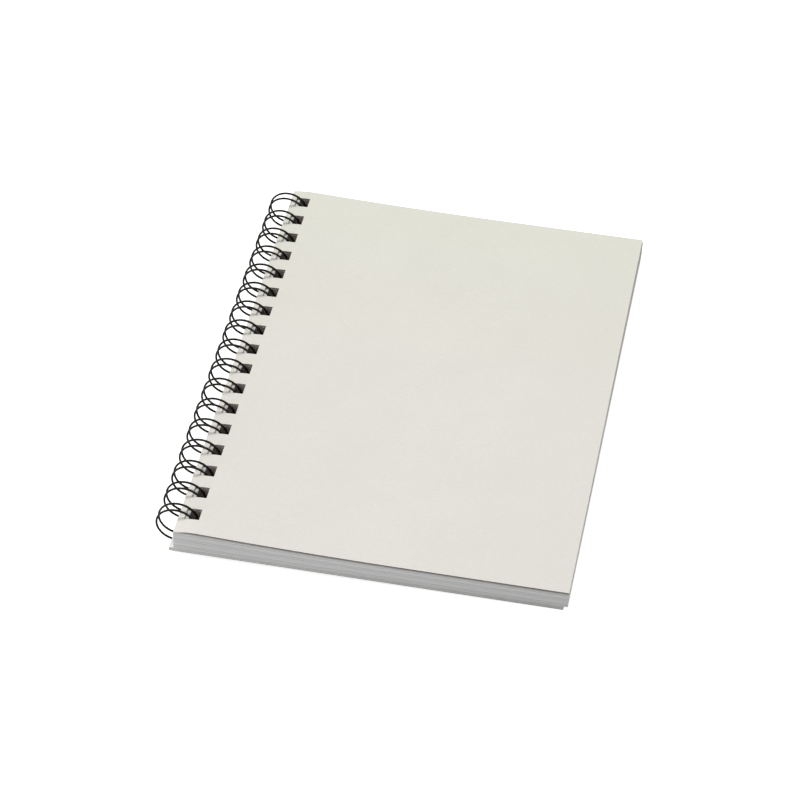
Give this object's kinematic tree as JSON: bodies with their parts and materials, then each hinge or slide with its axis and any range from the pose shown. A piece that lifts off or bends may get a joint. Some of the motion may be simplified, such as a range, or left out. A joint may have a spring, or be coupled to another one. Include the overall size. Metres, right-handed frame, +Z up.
{
  "type": "twin-loop wire notebook",
  "caption": "Pocket notebook with a bare thin card front cover, a stiff board back cover and sheets held along the long edge by a black twin-loop wire.",
  "frame": {"origin": "middle of the closed notebook's footprint, on the surface it lies on", "axes": "+X from the wire binding towards the fore edge, +Y along the binding towards the head, +Z up out of the front cover"},
  "size_m": [0.1116, 0.148, 0.0113],
  "materials": {
    "cover_card": "smooth uncoated ivory card, matt",
    "writing_paper": "uncoated white paper, cut edges",
    "back_board": "dense grey-brown board, matt",
    "coated_wire": "black plastic-coated steel wire, slightly glossy"
  },
  "bodies": {
    "pages": {"page_block": "writing_paper", "twin_loop_wire": "coated_wire"},
    "front_cover": {"front_cover": "cover_card"},
    "back_cover": {"back_cover": "back_board"}
  },
  "joints": [
    {"name": "front_cover_hinge", "type": "hinge", "parent": "pages", "child": "front_cover", "pos_m": [-0.05011, 0, 0.00566], "axis": [0, -1, 0], "range_deg": [0, 180]},
    {"name": "back_cover_hinge", "type": "hinge", "parent": "pages", "child": "back_cover", "pos_m": [-0.05011, 0, 0.00566], "axis": [0, 1, 0], "range_deg": [0, 180]}
  ]
}
